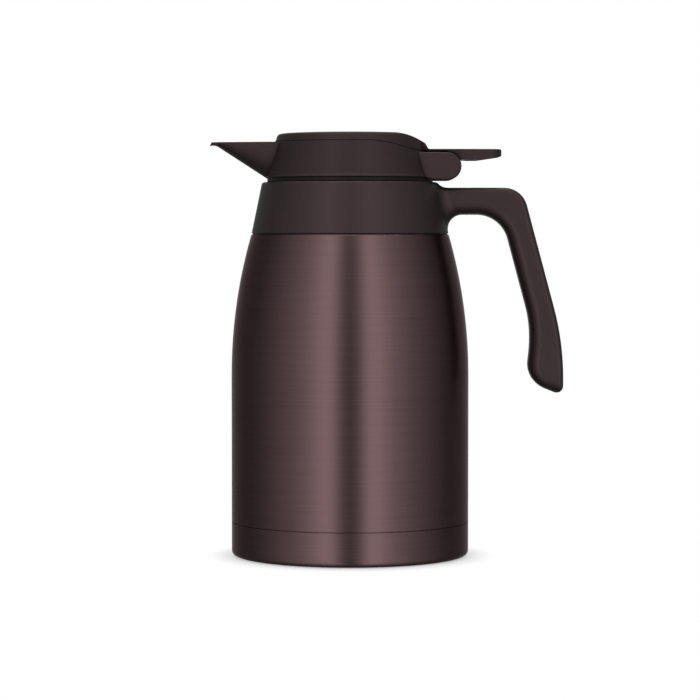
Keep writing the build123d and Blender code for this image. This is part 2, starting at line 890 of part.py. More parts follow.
def lever_pocket():
    """Hollow under the press lever."""
    start = lever_front + lever_wall
    half_width = lever_tip_half_width - lever_wall
    return block(start, lever_tip - lever_wall, half_width, 0, lever_top_height - lever_wall)


def lid_plate():
    """Inner plate of the lid, with the boss that carries the valve pad."""
    plate = disc(lid_cavity_radius - slide_gap, plate_bottom, plate_top)
    plate = plate - block(lid_cavity_rear - slide_gap, lever_tip, body_radius, 0, lid_top_height)
    boss = disc(boss_radius, pad_top, plate_bottom)
    return plate + boss - disc(clip_radius + push_gap, pad_top, plate_bottom)


def valve_pad():
    """Soft pad that closes the pour tube."""
    return ring(clip_radius + push_gap, pad_radius, pad_bottom, pad_top)


def pad_clip():
    """Push-in clip that holds the pad on its boss."""
    head = disc(clip_head_radius, pad_bottom - clip_head_thickness, pad_bottom)
    return head + disc(clip_radius, pad_bottom, plate_bottom)


makers = {
    "outer_shell": outer_shell,
    "end_disc": end_disc,
    "vent_seal": vent_seal,
    "getter": getter,
    "base_cup": base_cup,
    "foot_ring": foot_ring,
    "liner_floor": liner_floor,
    "liner_body": liner_body,
    "copper_foil": copper_foil,
    "neck_gasket": neck_gasket,
    "collar_handle": collar_handle,
    "thread_insert": thread_insert,
    "pour_head": pour_head,
    "hinge_pin": hinge_pin,
    "return_spring": return_spring,
    "stopper_body": stopper_body,
    "stopper_base": stopper_base,
    "stopper_foam": stopper_foam,
    "stopper_seal": stopper_seal,
    "flip_cover": flip_cover,
    "lid_plate": lid_plate,
    "valve_pad": valve_pad,
    "pad_clip": pad_clip,
}

if __name__ == "__main__":
    os.makedirs("parts", exist_ok=True)
    for node, maker in makers.items():
        export_step(maker(), f"parts/{node}.step")
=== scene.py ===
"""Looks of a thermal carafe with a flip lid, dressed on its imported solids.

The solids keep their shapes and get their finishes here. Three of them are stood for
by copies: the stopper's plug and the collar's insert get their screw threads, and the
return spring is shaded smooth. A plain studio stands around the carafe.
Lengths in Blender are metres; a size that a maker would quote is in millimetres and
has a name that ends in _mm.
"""

import logging
import math
from collections.abc import Mapping
from dataclasses import dataclass
from enum import Enum
from typing import Any

import bmesh
import bpy
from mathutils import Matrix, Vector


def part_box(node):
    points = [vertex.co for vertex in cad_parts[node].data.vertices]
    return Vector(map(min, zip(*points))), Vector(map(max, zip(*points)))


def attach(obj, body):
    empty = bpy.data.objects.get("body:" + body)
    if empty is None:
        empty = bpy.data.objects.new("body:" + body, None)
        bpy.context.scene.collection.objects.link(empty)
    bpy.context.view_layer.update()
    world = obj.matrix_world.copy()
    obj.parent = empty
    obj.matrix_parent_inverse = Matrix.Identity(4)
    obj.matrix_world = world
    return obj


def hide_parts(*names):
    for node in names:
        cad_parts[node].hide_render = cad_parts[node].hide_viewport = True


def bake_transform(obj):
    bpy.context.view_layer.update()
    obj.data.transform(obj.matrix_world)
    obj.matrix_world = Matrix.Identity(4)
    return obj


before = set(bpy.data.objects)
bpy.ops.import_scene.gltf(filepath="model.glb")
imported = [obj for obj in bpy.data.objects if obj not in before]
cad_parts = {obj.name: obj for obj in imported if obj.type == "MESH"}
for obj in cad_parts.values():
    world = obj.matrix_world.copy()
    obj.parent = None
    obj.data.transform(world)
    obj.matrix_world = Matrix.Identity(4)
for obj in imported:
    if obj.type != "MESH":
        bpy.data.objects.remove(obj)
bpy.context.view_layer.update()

log = logging.getLogger("carafe")

MM = 0.001
# Vertices nearer to each other than this are one.
SAME_POINT_MM = 0.0005
# Most of a noise lies between these two values, its usual low and high.
NOISE_LOW, NOISE_HIGH = 0.3, 0.7
# How open a point lies: in a groove with its full painted shade, and where that shade ends.
DEEP_IN_GROOVE, OPEN_WALL = 0.45, 0.95
# Rays that look for a groove's other wall, and for a sharp edge to soften.
GROOVE_SAMPLES = 8
EDGE_SAMPLES = 4
# Turns an anisotropic gloss so that the light spreads across the brushing.
QUARTER_TURN = 0.25
# Wall of the collar's threaded insert, and the plug's play in its bore.
INSERT_WALL_MM = 6.9
THREAD_PLAY_MM = 0.3
# The thread keeps this far off the insert's lower and upper ends.
THREAD_FROM_BELOW_MM = 1.8
THREAD_FROM_ABOVE_MM = 1.4


class Body(Enum):
    """The bodies that move against each other."""

    VESSEL = "vessel"
    HEAD = "head"
    LID = "lid"


class ThreadSide(Enum):
    """The two sides of a screw thread; the value says which way its grooves deepen."""

    # A plug's grooves go from its wall towards the axis.
    PLUG = 1
    # A bore's grooves go from its wall away from the axis.
    BORE = -1


def linear_colour(hex_colour: str) -> tuple[float, float, float, float]:
    """Turns an sRGB hex colour into linear light.

    Args:
        hex_colour: Six hex digits with a leading hash sign.

    Returns:
        Red, green, blue and an alpha of 1, all linear.
    """
    channels = (int(hex_colour[i : i + 2], 16) / 255 for i in (1, 3, 5))
    red, green, blue = (
        c / 12.92 if c <= 0.04045 else ((c + 0.055) / 1.055) ** 2.4 for c in channels
    )
    return red, green, blue, 1.0


def add_node(
    tree: bpy.types.NodeTree,
    kind: str,
    inputs: Mapping[str | int, Any] | None = None,
    **settings: Any,
) -> bpy.types.Node:
    """Adds one node with its settings and links.

    Args:
        tree: The node tree that gets the node.
        kind: The node's type name.
        inputs: For each input, by name or place, a value or the socket that feeds it.
        **settings: The node's own settings.

    Returns:
        The new node.
    """
    node = tree.nodes.new(kind)
    for name, value in settings.items():
        setattr(node, name, value)
    for key, value in (inputs or {}).items():
        if isinstance(value, bpy.types.NodeSocket):
            tree.links.new(value, node.inputs[key])
        else:
            node.inputs[key].default_value = value
    return node


def new_surface(name: str) -> tuple[bpy.types.Material, bpy.types.NodeTree]:
    """Makes an empty material.

    Args:
        name: The material's name.

    Returns:
        The material and its empty node tree.
    """
    material = bpy.data.materials.new(name)
    material.use_nodes = True
    material.node_tree.nodes.clear()
    return material, material.node_tree


def close_surface(tree: bpy.types.NodeTree, shader: bpy.types.NodeSocket) -> None:
    """Joins a shader to the material's output.

    Args:
        tree: The material's node tree.
        shader: The shader's output socket.
    """
    add_node(tree, "ShaderNodeOutputMaterial", {"Surface": shader})


def close_finish(
    material: bpy.types.Material, inputs: Mapping[str | int, Any]
) -> bpy.types.Material:
    """Ends a finish in one Principled shader.

    Args:
        material: The material, with the nodes that feed the shader.
        inputs: The shader's settings and links.

    Returns:
        The finished material.
    """
    tree = material.node_tree
    shader = add_node(tree, "ShaderNodeBsdfPrincipled", inputs)
    close_surface(tree, shader.outputs["BSDF"])
    return material


def around_axis(
    tree: bpy.types.NodeTree, along_mm: float, across_mm: float
) -> bpy.types.NodeSocket:
    """Gives pattern coordinates that run in rings around the vessel axis.

    Height and distance from the axis are added, so that the rings lie across walls
    and across floors alike.

    Args:
        tree: The material's node tree.
        along_mm: Length of a pattern cell along its ring.
        across_mm: Width of a pattern cell across the rings.

    Returns:
        The coordinates' socket.
    """
    place = add_node(tree, "ShaderNodeTexCoord").outputs["Object"]
    parts = add_node(tree, "ShaderNodeSeparateXYZ", {0: place}).outputs
    flat = add_node(
        tree, "ShaderNodeCombineXYZ", {0: parts["X"], 1: parts["Y"], 2: 0.0}
    ).outputs[0]
    radius = add_node(
        tree, "ShaderNodeVectorMath", {0: flat}, operation="LENGTH"
    ).outputs["Value"]
    run = add_node(
        tree, "ShaderNodeMath", {0: parts["Z"], 1: radius}, operation="ADD"
    ).outputs[0]
    rings = add_node(
        tree, "ShaderNodeCombineXYZ", {0: parts["X"], 1: parts["Y"], 2: run}
    ).outputs[0]
    cell = (1 / (along_mm * MM), 1 / (along_mm * MM), 1 / (across_mm * MM))
    return add_node(
        tree, "ShaderNodeVectorMath", {0: rings, 1: cell}, operation="MULTIPLY"
    ).outputs["Vector"]


def brushed_lines(
    tree: bpy.types.NodeTree, length_mm: float, width_mm: float
) -> bpy.types.NodeSocket:
    """Gives the fine lines that a belt leaves around the vessel axis.

    Args:
        tree: The material's node tree.
        length_mm: Length of a line.
        width_mm: Width of a line.

    Returns:
        The lines' value, from 0 to 1.
    """
    rings = around_axis(tree, length_mm, width_mm)
    return add_node(
        tree, "ShaderNodeTexNoise", {"Vector": rings, "Scale": 1.0, "Detail": 3.0}
    ).outputs["Fac"]


def around_tangent(tree: bpy.types.NodeTree) -> bpy.types.NodeSocket:
    """Gives the brushing's direction, around the vessel axis."""
    return add_node(
        tree, "ShaderNodeTangent", direction_type="RADIAL", axis="Z"
    ).outputs["Tangent"]


def grain(
    tree: bpy.types.NodeTree, cell_mm: float, detail: float = 2.0
) -> bpy.types.NodeSocket:
    """Gives an even noise on the piece's own coordinates.

    Args:
        tree: The material's node tree.
        cell_mm: Size of a noise cell.
        detail: Octaves of finer noise.

    Returns:
        The noise's value, from 0 to 1.
    """
    place = add_node(tree, "ShaderNodeTexCoord").outputs["Object"]
    return add_node(
        tree,
        "ShaderNodeTexNoise",
        {"Vector": place, "Scale": 1 / (cell_mm * MM), "Detail": detail},
    ).outputs["Fac"]


def ranged(
    tree: bpy.types.NodeTree,
    value: bpy.types.NodeSocket,
    low: float,
    high: float,
) -> bpy.types.NodeSocket:
    """Spreads a noise's usual values over a range.

    Args:
        tree: The material's node tree.
        value: The noise's value.
        low: What the noise becomes at its usual low and below.
        high: What it becomes at its usual high and above.

    Returns:
        The ranged value.
    """
    inputs = {"Value": value, 1: NOISE_LOW, 2: NOISE_HIGH, 3: low, 4: high}
    return add_node(tree, "ShaderNodeMapRange", inputs).outputs["Result"]


def spread_about(
    tree: bpy.types.NodeTree,
    value: bpy.types.NodeSocket,
    middle: float,
    spread: float,
) -> bpy.types.NodeSocket:
    """Varies a setting to both sides of its middle by a noise.

    Args:
        tree: The material's node tree.
        value: The noise's value.
        middle: The setting's middle.
        spread: How far it goes to each side.

    Returns:
        The varied setting.
    """
    return ranged(tree, value, middle - spread, middle + spread)


def tinted(
    tree: bpy.types.NodeTree,
    value: bpy.types.NodeSocket,
    dark: str,
    light: str,
) -> bpy.types.NodeSocket:
    """Mixes two near colours by a noise.

    Args:
        tree: The material's node tree.
        value: The noise's value.
        dark: Hex colour at the noise's usual low.
        light: Hex colour at its usual high.

    Returns:
        The colour's socket.
    """
    share = ranged(tree, value, 0.0, 1.0)
    inputs = {0: share, 6: linear_colour(dark), 7: linear_colour(light)}
    return add_node(tree, "ShaderNodeMix", inputs, data_type="RGBA").outputs[2]


def shaded(
    tree: bpy.types.NodeTree,
    colour: bpy.types.NodeSocket | tuple[float, float, float, float],
    reach_mm: float,
    strength: float,
) -> bpy.types.NodeSocket:
    """Paints shade into a colour in narrow grooves, where little light gets in.

    Args:
        tree: The material's node tree.
        colour: The colour in the open.
        reach_mm: How near the groove's walls must be.
        strength: Share of the colour that a deep groove loses.

    Returns:
        The shaded colour's socket.
    """
    openness = add_node(
        tree,
        "ShaderNodeAmbientOcclusion",
        {"Distance": reach_mm * MM},
        samples=GROOVE_SAMPLES,
    ).outputs["AO"]
    limits = {1: DEEP_IN_GROOVE, 2: OPEN_WALL, 3: 1 - strength, 4: 1.0}
    kept = add_node(
        tree, "ShaderNodeMapRange", {"Value": openness, **limits}
    ).outputs["Result"]
    inputs = {0: 1.0, 6: colour, 7: kept}
    return add_node(
        tree, "ShaderNodeMix", inputs, data_type="RGBA", blend_type="MULTIPLY"
    ).outputs[2]


def embossed(
    tree: bpy.types.NodeTree,
    height: bpy.types.NodeSocket,
    depth_mm: float,
    edge_mm: float = 0.0,
) -> bpy.types.NodeSocket:
    """Turns a pattern into surface relief, on edges that are rounded where asked.

    Args:
        tree: The material's node tree.
        height: The pattern, from 0 to 1.
        depth_mm: Depth of the relief.
        edge_mm: Radius that the piece's sharp edges seem to have, or 0 to keep them.

    Returns:
        The relief's normal.
    """
    inputs: dict[str | int, Any] = {"Height": height, "Distance": depth_mm * MM}
    if edge_mm > 0:
        inputs["Normal"] = add_node(
            tree, "ShaderNodeBevel", {"Radius": edge_mm * MM}, samples=EDGE_SAMPLES
        ).outputs["Normal"]
    return add_node(tree, "ShaderNodeBump", inputs).outputs["Normal"]


@dataclass(frozen=True)
class LacqueredSteel:
    """Stainless steel, brushed around its axis and sprayed with translucent brown lacquer.

    The brushing spreads each light up and down the wall and keeps it narrow around
    it, which gives upright satin bands. The lacquer tints them a rosy brown, and
    faint rings of the brushing show through it.
    """

    name: str = "lacquered brushed stainless steel"
    dark: str = "#584547"
    light: str = "#5D4A4C"
    edge: str = "#E9DADC"
    edge_mm: float = 0.6
    roughness: float = 0.36
    roughness_spread: float = 0.02
    anisotropy: float = 0.75
    # The belt's lines are about 0.1 mm wide; they are drawn 0.9 mm wide to show at all.
    line_mm: float = 0.9
    line_length_mm: float = 60.0
    line_depth_mm: float = 0.004

    def material(self) -> bpy.types.Material:
        """Makes the material.

        Returns:
            The material, with one Principled shader.
        """
        material, tree = new_surface(self.name)
        lines = brushed_lines(tree, self.line_length_mm, self.line_mm)
        inputs = {
            "Base Color": tinted(tree, lines, self.dark, self.light),
            "Metallic": 1.0,
            "Specular Tint": linear_colour(self.edge),
            "Roughness": spread_about(tree, lines, self.roughness, self.roughness_spread),
            "Anisotropic": self.anisotropy,
            "Anisotropic Rotation": QUARTER_TURN,
            "Tangent": around_tangent(tree),
            "Normal": embossed(tree, lines, self.line_depth_mm, self.edge_mm),
        }
        return close_finish(material, inputs)


@dataclass(frozen=True)
class BareSteel:
    """Stainless steel left bare, spun and brushed around its axis.

    It is bright and cool beside the lacquer, with fine rings that catch the light.
    """

    name: str = "bare spun stainless steel"
    dark: str = "#B9B7B3"
    light: str = "#CFCDC9"
    roughness: float = 0.34
    roughness_spread: float = 0.05
    anisotropy: float = 0.6
    # The spinning marks are about 0.2 mm apart; they are drawn 0.7 mm apart to show.
    line_mm: float = 0.7
    line_length_mm: float = 45.0
    line_depth_mm: float = 0.006

    def material(self) -> bpy.types.Material:
        """Makes the material.

        Returns:
            The material, with one Principled shader.
        """
        material, tree = new_surface(self.name)
        lines = brushed_lines(tree, self.line_length_mm, self.line_mm)
        inputs = {
            "Base Color": tinted(tree, lines, self.dark, self.light),
            "Metallic": 1.0,
            "Roughness": spread_about(tree, lines, self.roughness, self.roughness_spread),
            "Anisotropic": self.anisotropy,
            "Anisotropic Rotation": QUARTER_TURN,
            "Tangent": around_tangent(tree),
            "Normal": embossed(tree, lines, self.line_depth_mm),
        }
        return close_finish(material, inputs)


@dataclass(frozen=True)
class GroundSteel:
    """Ground rod and drawn spring wire of stainless steel.

    Small and bright, with a fine cross-hatch of grinding that keeps it from mirroring.
    """

    name: str = "ground stainless steel rod and wire"
    dark: str = "#9C9A98"
    light: str = "#B2B0AE"
    roughness: float = 0.31
    roughness_spread: float = 0.06
    # Grinding marks of some 0.02 mm are drawn 0.3 mm wide.
    mark_mm: float = 0.3
    mark_depth_mm: float = 0.003

    def material(self) -> bpy.types.Material:
        """Makes the material.

        Returns:
            The material, with one Principled shader.
        """
        material, tree = new_surface(self.name)
        marks = grain(tree, self.mark_mm, detail=3.0)
        inputs = {
            "Base Color": tinted(tree, marks, self.dark, self.light),
            "Metallic": 1.0,
            "Roughness": spread_about(tree, marks, self.roughness, self.roughness_spread),
            "Normal": embossed(tree, marks, self.mark_depth_mm),
        }
        return close_finish(material, inputs)


@dataclass(frozen=True)
class MouldedPlastic:
    """Polypropylene moulded against a spark-eroded tool.

    The tool's even, fine grain leaves the plastic matte: it takes the light as a
    broad soft glow in its own brown and shows no sharp reflection.
    """

    name: str
    dark: str
    light: str
    sheen_tint: str
    roughness: float
    # The tool's grain is about 0.15 mm; it is drawn coarser so that it shows.
    grain_mm: float
    grain_depth_mm: float
    roughness_spread: float = 0.02
    # Handling and the mould's flow vary the gloss over patches this many grains wide.
    patch_grains: float = 60.0
    edge_mm: float = 0.4
    ior: float = 1.49
    specular: float = 0.5
    # Grooves narrower than this keep out the light that would make them shine,
    # so shade is painted into their colour and the sheen's tint.
    groove_mm: float = 5.0
    groove_shade: float = 0.8

    def material(self) -> bpy.types.Material:
        """Makes the material.

        Returns:
            The material, with one Principled shader.
        """
        material, tree = new_surface(self.name)
        fine = grain(tree, self.grain_mm)
        clouds = grain(tree, self.patch_grains * self.grain_mm)
        colour = tinted(tree, fine, self.dark, self.light)
        sheen = linear_colour(self.sheen_tint)
        inputs = {
            # Painted shade darkens the colour and the sheen's tint in narrow grooves.
            "Base Color": shaded(tree, colour, self.groove_mm, self.groove_shade),
            "Roughness": spread_about(tree, clouds, self.roughness, self.roughness_spread),
            "IOR": self.ior,
            "Specular IOR Level": self.specular,
            "Specular Tint": shaded(tree, sheen, self.groove_mm, self.groove_shade),
            "Normal": embossed(tree, fine, self.grain_depth_mm, self.edge_mm),
        }
        return close_finish(material, inputs)


@dataclass(frozen=True)
class Elastomer:
    """Silicone or thermoplastic rubber moulded in a smooth tool.

    It is soft and satin, and light seeps a little way into it where it is not filled.
    """

    name: str
    dark: str
    light: str
    roughness: float
    # Share of the light that seeps in, and how deep; a filled rubber lets none in.
    milkiness: float = 0.3
    depth_mm: float = 0.6
    # Red light goes the full depth, green and blue these shares of it.
    depth_shares: tuple[float, float, float] = (1.0, 0.9, 0.8)
    ior: float = 1.41
    roughness_spread: float = 0.04
    edge_mm: float = 0.25
    # Moulding marks and dust-fine specks, drawn at half a millimetre to show.
    speck_mm: float = 0.5
    speck_depth_mm: float = 0.012

    def material(self) -> bpy.types.Material:
        """Makes the material.

        Returns:
            The material, with one Principled shader.
        """
        material, tree = new_surface(self.name)
        specks = grain(tree, self.speck_mm)
        inputs = {
            "Base Color": tinted(tree, specks, self.dark, self.light),
            "Roughness": spread_about(tree, specks, self.roughness, self.roughness_spread),
            "IOR": self.ior,
            "Subsurface Weight": self.milkiness,
            "Subsurface Radius": self.depth_shares,
            "Subsurface Scale": self.depth_mm * MM,
            "Normal": embossed(tree, specks, self.speck_depth_mm, self.edge_mm),
        }
        return close_finish(material, inputs)


@dataclass(frozen=True)
class BlownFoam:
    """Rigid foam blown in place: pale, dry and full of closed cells."""

    name: str = "blown rigid foam"
    dark: str = "#CFC6A6"
    light: str = "#E4DEC6"
    roughness: float = 0.85
    roughness_spread: float = 0.05
    # The foam's cells are about 0.3 mm wide; they are drawn 0.9 mm wide to show.
    cell_mm: float = 0.9
    cell_depth_mm: float = 0.25

    def material(self) -> bpy.types.Material:
        """Makes the material.

        Returns:
            The material, with one Principled shader.
        """
        material, tree = new_surface(self.name)
        place = add_node(tree, "ShaderNodeTexCoord").outputs["Object"]
        scale = 1 / (self.cell_mm * MM)
        cells = add_node(
            tree, "ShaderNodeTexVoronoi", {"Vector": place, "Scale": scale}
        ).outputs["Distance"]
        inputs = {
            "Base Color": tinted(tree, cells, self.dark, self.light),
            "Roughness": spread_about(tree, cells, self.roughness, self.roughness_spread),
            "Normal": embossed(tree, cells, self.cell_depth_mm),
        }
        return close_finish(material, inputs)


@dataclass(frozen=True)
class RolledCopper:
    """Thin copper foil, rolled bright and wrapped with faint creases."""

    name: str = "rolled copper foil"
    dark: str = "#B87757"
    light: str = "#D08F6C"
    roughness: float = 0.29
    roughness_spread: float = 0.07
    crease_mm: float = 7.0
    crease_depth_mm: float = 0.15

    def material(self) -> bpy.types.Material:
        """Makes the material.

        Returns:
            The material, with one Principled shader.
        """
        material, tree = new_surface(self.name)
        creases = grain(tree, self.crease_mm, detail=4.0)
        inputs = {
            "Base Color": tinted(tree, creases, self.dark, self.light),
            "Metallic": 1.0,
            "Roughness": spread_about(tree, creases, self.roughness, self.roughness_spread),
            "Normal": embossed(tree, creases, self.crease_depth_mm),
        }
        return close_finish(material, inputs)


@dataclass(frozen=True)
class FusedBead:
    """A bead of sealing metal or glass, melted in a vacuum furnace: grey, wavy and dull."""

    name: str = "fused sealing bead"
    dark: str = "#85868A"
    light: str = "#9FA0A4"
    roughness: float = 0.45
    roughness_spread: float = 0.08
    ripple_mm: float = 1.6
    ripple_depth_mm: float = 0.12

    def material(self) -> bpy.types.Material:
        """Makes the material.

        Returns:
            The material, with one Principled shader.
        """
        material, tree = new_surface(self.name)
        ripples = grain(tree, self.ripple_mm)
        inputs = {
            "Base Color": tinted(tree, ripples, self.dark, self.light),
            "Metallic": 1.0,
            "Roughness": spread_about(tree, ripples, self.roughness, self.roughness_spread),
            "Normal": embossed(tree, ripples, self.ripple_depth_mm),
        }
        return close_finish(material, inputs)


COLLAR_PLASTIC = MouldedPlastic(
    name="matte moulded polypropylene, fine grain",
    dark="#1B1617",
    light="#221C1D",
    sheen_tint="#D2AEB1",
    roughness=0.43,
    grain_mm=0.7,
    grain_depth_mm=0.03,
    specular=0.65,
)
# The head and lid get a darker, duller copy of the collar's plastic: painted shade.
# Its grain is drawn a little coarser too.
HEAD_PLASTIC = MouldedPlastic(
    name="matte moulded polypropylene, coarser grain, painted darker",
    dark="#1A1516",
    light="#211B1C",
    sheen_tint="#D0AAAE",
    roughness=0.46,
    grain_mm=0.8,
    grain_depth_mm=0.035,
    specular=0.53,
)
# The parts inside come from smoother tools, and are a little lighter and glossier.
INNER_PLASTIC = MouldedPlastic(
    name="satin moulded polypropylene",
    dark="#3A302E",
    light="#423735",
    sheen_tint="#FFFFFF",
    roughness=0.36,
    grain_mm=0.9,
    grain_depth_mm=0.01,
)
# Seals and pad: pale, with a soft gloss.
SILICONE = Elastomer(name="moulded silicone", dark="#9C9894", light="#A8A4A0", roughness=0.42)
# Filled with carbon black, so that no light seeps in, and rubbed dull.
FOOT_RUBBER = Elastomer(
    name="moulded foot elastomer",
    dark="#231F1F",
    light="#2C2727",
    roughness=0.62,
    milkiness=0.0,
)


def dress(node: str, material: bpy.types.Material) -> None:
    """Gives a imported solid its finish.

    Args:
        node: The solid's node name.
        material: The finish.
    """
    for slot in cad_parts[node].material_slots:
        slot.material = material
    log.info("%s: %s", node, material.name)


@dataclass(frozen=True)
class ScrewThread:
    """The rounded grooves of a coarse quick-turn screw thread.

    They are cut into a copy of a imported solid. The crests stay at the solid's own
    wall, so that the unscrewed stopper still lifts straight out of its insert.
    """

    side: ThreadSide
    wall_mm: float
    low_mm: float
    high_mm: float
    depth_mm: float = 0.85
    width_mm: float = 1.9
    # The flanks narrow the groove by this much on each side per millimetre of depth.
    flank_slope: float = 0.25
    flank_depth_mm: float = 0.45
    # The floor's width as shares of the groove's, at its rounded edges and at its bottom.
    floor_edge_share: float = 0.5
    floor_edge_depth_mm: float = 0.8
    floor_share: float = 0.2
    pitch_mm: float = 3.0
    starts: int = 2
    # The cutter's open side stands this far clear of the wall.
    clear_mm: float = 0.3
    # At its two ends a groove gets shallower over this part of a turn, until its
    # floor stands this far clear of the wall.
    run_out_turns: float = 0.07
    run_out_clear_mm: float = 0.1
    # Sections along each groove.
    steps: int = 120
    crease_deg: float = 32.0

    def section(self) -> list[tuple[float, float]]:
        """Gives the groove's section.

        Returns:
            Depth below the wall and height from the groove's middle, in millimetres.
        """
        half = self.width_mm / 2
        upper = [
            (-self.clear_mm, half + self.flank_slope * self.clear_mm),
            (self.flank_depth_mm, half - self.flank_slope * self.flank_depth_mm),
            (self.floor_edge_depth_mm, self.floor_edge_share * half),
            (self.depth_mm, self.floor_share * half),
        ]
        return upper + [(depth, -height) for depth, height in reversed(upper)]

    def ring(self, share: float, start: int) -> list[tuple[float, float, float]]:
        """Places the section at one point of a groove.

        Args:
            share: How far along the groove, from 0 to 1.
            start: Which of the thread's starts.

        Returns:
            The section's points, in metres.
        """
        turns = (self.high_mm - self.low_mm) / (self.pitch_mm * self.starts)
        angle = math.tau * (turns * share + start / self.starts)
        middle = self.low_mm + share * (self.high_mm - self.low_mm)
        run = min(1.0, min(share, 1 - share) * turns / self.run_out_turns)
        lift = (1 - run) ** 2 * (self.depth_mm + self.run_out_clear_mm)
        points = []
        for depth, height in self.section():
            radius = self.wall_mm - self.side.value * (depth - lift)
            points.append(
                (
                    radius * math.cos(angle) * MM,
                    radius * math.sin(angle) * MM,
                    (middle + height) * MM,
                )
            )
        return points

    def cutter(self) -> bpy.types.Object:
        """Sweeps the section along each start.

        Returns:
            One closed object with all the grooves' forms.
        """
        form = bmesh.new()
        for start in range(self.starts):
            rings = [
                [form.verts.new(point) for point in self.ring(i / self.steps, start)]
                for i in range(self.steps + 1)
            ]
            for near, far in zip(rings, rings[1:]):
                for i in range(len(near)):
                    j = (i + 1) % len(near)
                    form.faces.new((near[i], near[j], far[j], far[i]))
            form.faces.new(rings[0])
            form.faces.new(rings[-1])
        bmesh.ops.recalc_face_normals(form, faces=form.faces)
        mesh = bpy.data.meshes.new("thread cutter")
        form.to_mesh(mesh)
        form.free()
        return bpy.data.objects.new("thread cutter", mesh)

    def cut(self, node: str, piece: str, body: Body, slot: str) -> bpy.types.Object:
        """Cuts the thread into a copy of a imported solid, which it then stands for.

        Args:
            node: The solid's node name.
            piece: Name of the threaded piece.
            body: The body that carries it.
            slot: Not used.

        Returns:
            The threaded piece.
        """
        blank = bpy.data.objects.new("thread blank", joined_copy(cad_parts[node].data))
        cutter = self.cutter()
        for thing in (blank, cutter):
            bpy.context.scene.collection.objects.link(thing)
        cutting = blank.modifiers.new("thread", "BOOLEAN")
        cutting.operation = "DIFFERENCE"
        cutting.solver = "EXACT"
        cutting.object = cutter
        mesh = evaluated_mesh(blank)
        for thing in (blank, cutter):
            bpy.data.objects.remove(thing)
        threaded = smooth_piece(piece, mesh, self.crease_deg)
        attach(threaded, body.value)
        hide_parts(node)
        return threaded


def stopper_thread(side: ThreadSide) -> ScrewThread:
    """Places the stopper's screw thread between the ends of the collar's insert.

    Args:
        side: The plug's or the bore's side of the thread.

    Returns:
        The thread.
    """
    low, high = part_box("thread_insert")
    bore_mm = high[0] / MM - INSERT_WALL_MM
    play_mm = THREAD_PLAY_MM if side is ThreadSide.PLUG else 0.0
    return ScrewThread(
        side=side,
        wall_mm=bore_mm - play_mm,
        low_mm=low[2] / MM + THREAD_FROM_BELOW_MM,
        high_mm=high[2] / MM - THREAD_FROM_ABOVE_MM,
    )


def joined_copy(source: bpy.types.Mesh) -> bpy.types.Mesh:
    """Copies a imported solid's mesh and joins its faces along their common edges.

    Args:
        source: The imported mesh, whose faces may each have vertices of their own.

    Returns:
        A closed mesh without materials.
    """
    form = bmesh.new()
    form.from_mesh(source)
    bmesh.ops.remove_doubles(form, verts=form.verts, dist=SAME_POINT_MM * MM)
    form.verts.index_update()
    points = [tuple(vertex.co) for vertex in form.verts]
    faces = [[vertex.index for vertex in face.verts] for face in form.faces]
    form.free()
    mesh = bpy.data.meshes.new(source.name)
    mesh.from_pydata(points, [], faces)
    return mesh


def evaluated_mesh(thing: bpy.types.Object) -> bpy.types.Mesh:
    """Applies an object's modifiers to a new mesh.

    Args:
        thing: The object with its modifiers.

    Returns:
        The finished mesh.
    """
    graph = bpy.context.evaluated_depsgraph_get()
    return bpy.data.meshes.new_from_object(thing.evaluated_get(graph))


def smooth_piece(name: str, mesh: bpy.types.Mesh, crease_deg: float) -> bpy.types.Object:
    """Puts a mesh in the scene, shaded smooth between its creases.

    Args:
        name: The piece's name.
        mesh: Its mesh.
        crease_deg: Angle between faces from which their edge stays sharp.

    Returns:
        The piece.
    """
    mesh.shade_smooth()
    mesh.set_sharp_from_angle(angle=math.radians(crease_deg))
    piece = bpy.data.objects.new(name, mesh)
    bpy.context.scene.collection.objects.link(piece)
    return piece


def coat(piece: bpy.types.Object, material: bpy.types.Material) -> None:
    """Gives a piece of the scene's own its finish.

    Args:
        piece: The piece.
        material: The finish.
    """
    piece.data.materials.clear()
    piece.data.materials.append(material)
    log.info("%s: %s", piece.name, material.name)


@dataclass
class Vessel:
    """The double-walled steel vessel with its base and the parts sealed inside it."""

    lacquer: bpy.types.Material
    steel: bpy.types.Material
    copper: bpy.types.Material
    bead: bpy.types.Material
    silicone: bpy.types.Material
    foot: bpy.types.Material

    def dress(self) -> None:
        """Gives each of the vessel's solids its finish."""
        for node in ("outer_shell", "base_cup"):
            dress(node, self.lacquer)
        for node in ("liner_body", "liner_floor", "end_disc", "getter"):
            dress(node, self.steel)
        dress("copper_foil", self.copper)
        dress("vent_seal", self.bead)
        dress("neck_gasket", self.silicone)
        dress("foot_ring", self.foot)


@dataclass
class Collar:
    """The shoulder collar with its open handle, and the threaded insert inside it."""

    plastic: bpy.types.Material
    insert_plastic: bpy.types.Material

    def dress(self) -> None:
        """Gives the collar its finish and cuts the insert's thread."""
        dress("collar_handle", self.plastic)
        thread = stopper_thread(ThreadSide.BORE)
        insert = thread.cut("thread_insert", "threaded_insert", Body.VESSEL, "inner_plastic")
        coat(insert, self.insert_plastic)


@dataclass
class PourHead:
    """The pouring head with the hinge pin and the return spring."""

    plastic: bpy.types.Material
    steel: bpy.types.Material
    # How far the real coil twists to each side of its middle, between its two legs.
    coil_reach_mm: float = 1.9
    wire_crease_deg: float = 40.0

    def dress(self) -> None:
        """Gives the head's solids their finishes."""
        dress("pour_head", self.plastic)
        dress("hinge_pin", self.steel)
        coat(self.twisting_spring(), self.steel)

    def twisting_spring(self) -> bpy.types.Object:
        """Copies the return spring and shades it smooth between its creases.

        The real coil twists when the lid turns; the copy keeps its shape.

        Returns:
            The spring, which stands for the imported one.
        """
        mesh = joined_copy(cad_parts["return_spring"].data)
        spring = smooth_piece("twisting_spring", mesh, self.wire_crease_deg)
        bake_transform(spring)
        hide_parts("return_spring")
        return spring


